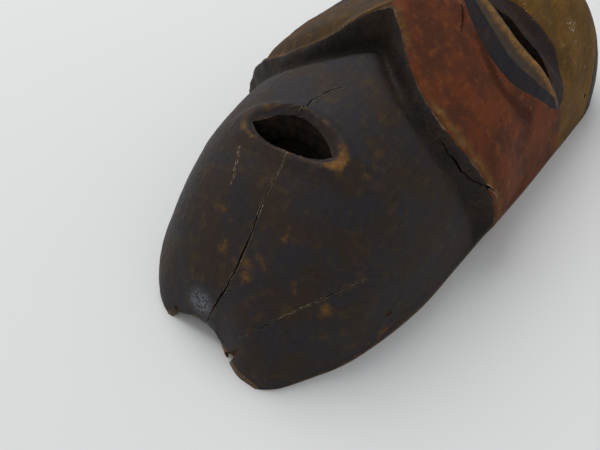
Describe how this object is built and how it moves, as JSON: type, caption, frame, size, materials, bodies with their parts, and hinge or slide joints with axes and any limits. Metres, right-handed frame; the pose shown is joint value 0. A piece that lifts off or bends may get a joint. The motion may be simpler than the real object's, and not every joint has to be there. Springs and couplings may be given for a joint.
{
  "type": "carved wooden mask",
  "caption": "Hollow carved wooden dance mask, painted in worn coats, with a domed muzzle, a stepped cheek ledge and pierced mouth and eyes.",
  "frame": {"origin": "middle of the mask in plan, on the plane of its rim", "axes": "+X to the viewer's right, +Y from the chin to the crown, +Z out of the face"},
  "size_m": [0.1522, 0.3234, 0.1078],
  "materials": {
    "bare_wood": "matt, aged and hand cut",
    "dark_paint": "worn dark paint with a dull shine",
    "red_paint": "worn red-brown paint",
    "ochre_paint": "worn ochre paint",
    "brow_paint": "worn ochre paint with pale specks",
    "line_paint": "blue-black paint",
    "lid_paint": "rubbed ochre-grey paint",
    "socket_paint": "matt grey-brown paint",
    "hair_paint": "black paint with a dull shine"
  },
  "bodies": {
    "root": {"carved_wood": "bare_wood", "muzzle_paint": "dark_paint", "right_cheek_paint": "red_paint", "left_cheek_paint": "ochre_paint", "brow_paint": "brow_paint", "right_lid_line": "line_paint", "left_lid_line": "line_paint", "right_lower_lid_paint": "lid_paint", "left_lower_lid_paint": "lid_paint", "right_socket_paint": "socket_paint", "left_socket_paint": "socket_paint", "hair_band_paint": "hair_paint"}
  },
  "joints": []
}
